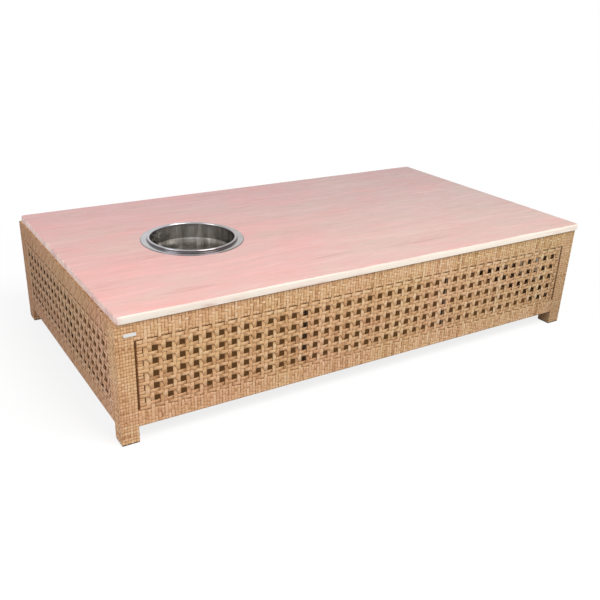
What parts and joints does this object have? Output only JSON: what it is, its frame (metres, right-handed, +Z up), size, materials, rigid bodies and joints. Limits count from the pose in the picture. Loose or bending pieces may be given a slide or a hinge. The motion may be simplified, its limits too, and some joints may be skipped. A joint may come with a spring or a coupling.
{
  "type": "coffee table with ice bucket",
  "caption": "Low rectangular outdoor table: stone slab on a woven lattice base, with a round steel ice bucket that drops into the slab.",
  "frame": {"origin": "on the floor, at the middle of the table's outline seen from above", "axes": "+Z up, +X along the length with the ice bucket towards -X, -Y towards the long side with the label"},
  "size_m": [2.012, 1.1224, 0.4566],
  "materials": {
    "stone": "honed, vein cut, with pale polished edges",
    "steel": "polished to satin stainless steel",
    "weave": "flat extruded resin strand, golden tan, satin",
    "frame_tube": "powder coated tan",
    "rubber": "matte",
    "nylon": "matte black",
    "label": "plain off-white, blank"
  },
  "bodies": {
    "table": {"stone_slab": "stone", "blank_label": "label", "leg_tube_front_left": "frame_tube", "leg_weave_front_left": "weave", "leg_glide_front_left": "nylon", "leg_tube_front_right": "frame_tube", "leg_weave_front_right": "weave", "leg_glide_front_right": "nylon", "leg_tube_back_right": "frame_tube", "leg_weave_back_right": "weave", "leg_glide_back_right": "nylon", "leg_tube_back_left": "frame_tube", "leg_weave_back_left": "weave", "leg_glide_back_left": "nylon", "top_rail_front": "frame_tube", "bottom_rail_front": "frame_tube", "top_rail_weave_front": "weave", "bottom_rail_weave_front": "weave", "lattice_front": "weave", "stile_front_1": "frame_tube", "stile_front_2": "frame_tube", "top_rail_right": "frame_tube", "bottom_rail_right": "frame_tube", "top_rail_weave_right": "weave", "bottom_rail_weave_right": "weave", "lattice_right": "weave", "stile_right_1": "frame_tube", "stile_right_2": "frame_tube", "top_rail_back": "frame_tube", "bottom_rail_back": "frame_tube", "top_rail_weave_back": "weave", "bottom_rail_weave_back": "weave", "lattice_back": "weave", "stile_back_1": "frame_tube", "stile_back_2": "frame_tube", "top_rail_left": "frame_tube", "bottom_rail_left": "frame_tube", "top_rail_weave_left": "weave", "bottom_rail_weave_left": "weave", "lattice_left": "weave", "stile_left_1": "frame_tube", "stile_left_2": "frame_tube", "post_front_1": "frame_tube", "post_front_2": "frame_tube", "post_right_1": "frame_tube", "post_back_1": "frame_tube", "post_back_2": "frame_tube", "post_left_1": "frame_tube", "cross_member_1": "frame_tube", "slab_pad_front_1": "rubber", "slab_pad_back_1": "rubber", "cross_member_2": "frame_tube", "slab_pad_front_2": "rubber", "slab_pad_back_2": "rubber", "cross_member_3": "frame_tube", "slab_pad_front_3": "rubber", "slab_pad_back_3": "rubber"},
    "bucket": {"ice_bucket": "steel"}
  },
  "joints": [
    {"name": "bucket_lift", "type": "slide", "parent": "table", "child": "bucket", "axis": [0, 0, 1], "range_m": [0, 0.25]}
  ]
}
